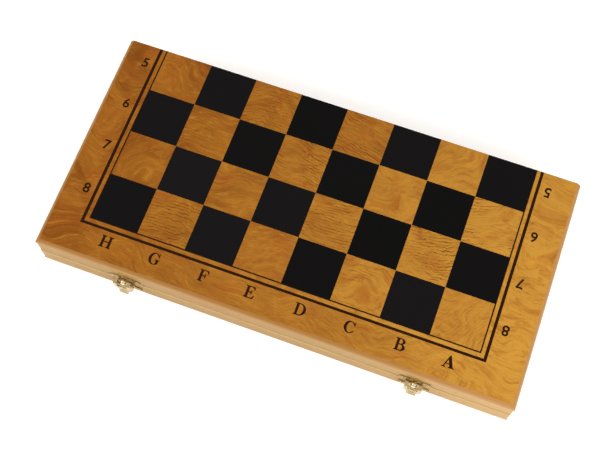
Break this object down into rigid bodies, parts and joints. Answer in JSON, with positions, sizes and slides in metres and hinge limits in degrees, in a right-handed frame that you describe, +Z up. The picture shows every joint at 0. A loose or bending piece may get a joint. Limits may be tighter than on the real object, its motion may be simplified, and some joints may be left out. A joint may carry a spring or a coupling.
{
  "type": "folding chess set with board",
  "caption": "Flat wooden box of two hinged halves whose outer faces make a chessboard, with two front latches and turned chessmen stored inside.",
  "frame": {"origin": "centre of the lower half's flat outer face, on which the closed box lies", "axes": "+X along the long side, to the right as seen from the latches; +Y from the latches to the hinges; +Z up"},
  "size_m": [0.3414, 0.1773, 0.036],
  "materials": {
    "board_face": "satin",
    "rail_pine": "satin",
    "felt": "matte",
    "nail_brass": "polished",
    "hinge_brass": "polished",
    "latch_brass": "polished",
    "man_light": "gloss",
    "man_dark": "gloss"
  },
  "bodies": {
    "lower_half": {"black_bishop_1": "man_dark", "black_bishop_2": "man_dark", "black_king": "man_dark", "black_knight_1": "man_dark", "black_knight_2": "man_dark", "black_pawn_1": "man_dark", "black_pawn_2": "man_dark", "black_pawn_3": "man_dark", "black_pawn_4": "man_dark", "black_pawn_5": "man_dark", "black_pawn_6": "man_dark", "black_pawn_7": "man_dark", "black_pawn_8": "man_dark", "black_queen": "man_dark", "black_rook_1": "man_dark", "black_rook_2": "man_dark", "hinge_pins": "hinge_brass", "latch_base_left": "latch_brass", "latch_base_right": "latch_brass", "latch_pins": "latch_brass", "lower_back_rail": "rail_pine", "lower_felt": "felt", "lower_front_rail": "rail_pine", "lower_hinge_leaf_left": "hinge_brass", "lower_hinge_leaf_right": "hinge_brass", "lower_left_rail": "rail_pine", "lower_nails": "nail_brass", "lower_panel": "board_face", "lower_right_rail": "rail_pine", "white_bishop_1": "man_light", "white_bishop_2": "man_light", "white_king": "man_light", "white_knight_1": "man_light", "white_knight_2": "man_light", "white_pawn_1": "man_light", "white_pawn_2": "man_light", "white_pawn_3": "man_light", "white_pawn_4": "man_light", "white_pawn_5": "man_light", "white_pawn_6": "man_light", "white_pawn_7": "man_light", "white_pawn_8": "man_light", "white_queen": "man_light", "white_rook_1": "man_light", "white_rook_2": "man_light"},
    "upper_half": {"upper_back_rail": "rail_pine", "upper_felt": "felt", "upper_front_rail": "rail_pine", "upper_hinge_leaf_left": "hinge_brass", "upper_hinge_leaf_right": "hinge_brass", "upper_left_rail": "rail_pine", "upper_nails": "nail_brass", "upper_panel": "board_face", "upper_right_rail": "rail_pine", "latch_catch_left": "latch_brass", "latch_catch_right": "latch_brass", "latch_studs": "latch_brass"},
    "lever_left": {"latch_lever_left": "latch_brass"},
    "lever_right": {"latch_lever_right": "latch_brass"}
  },
  "joints": [
    {"name": "lid_hinge", "type": "hinge", "parent": "lower_half", "child": "upper_half", "pos_m": [0, 0.0844, 0.018], "axis": [-1, 0, 0], "range_deg": [0, 180]},
    {"name": "latch_left", "type": "hinge", "parent": "lower_half", "child": "lever_left", "pos_m": [-0.1053, -0.087, 0.013], "axis": [-1, 0, 0], "range_deg": [0, 9.5]},
    {"name": "latch_right", "type": "hinge", "parent": "lower_half", "child": "lever_right", "pos_m": [0.1043, -0.087, 0.013], "axis": [-1, 0, 0], "range_deg": [0, 9.5]}
  ]
}
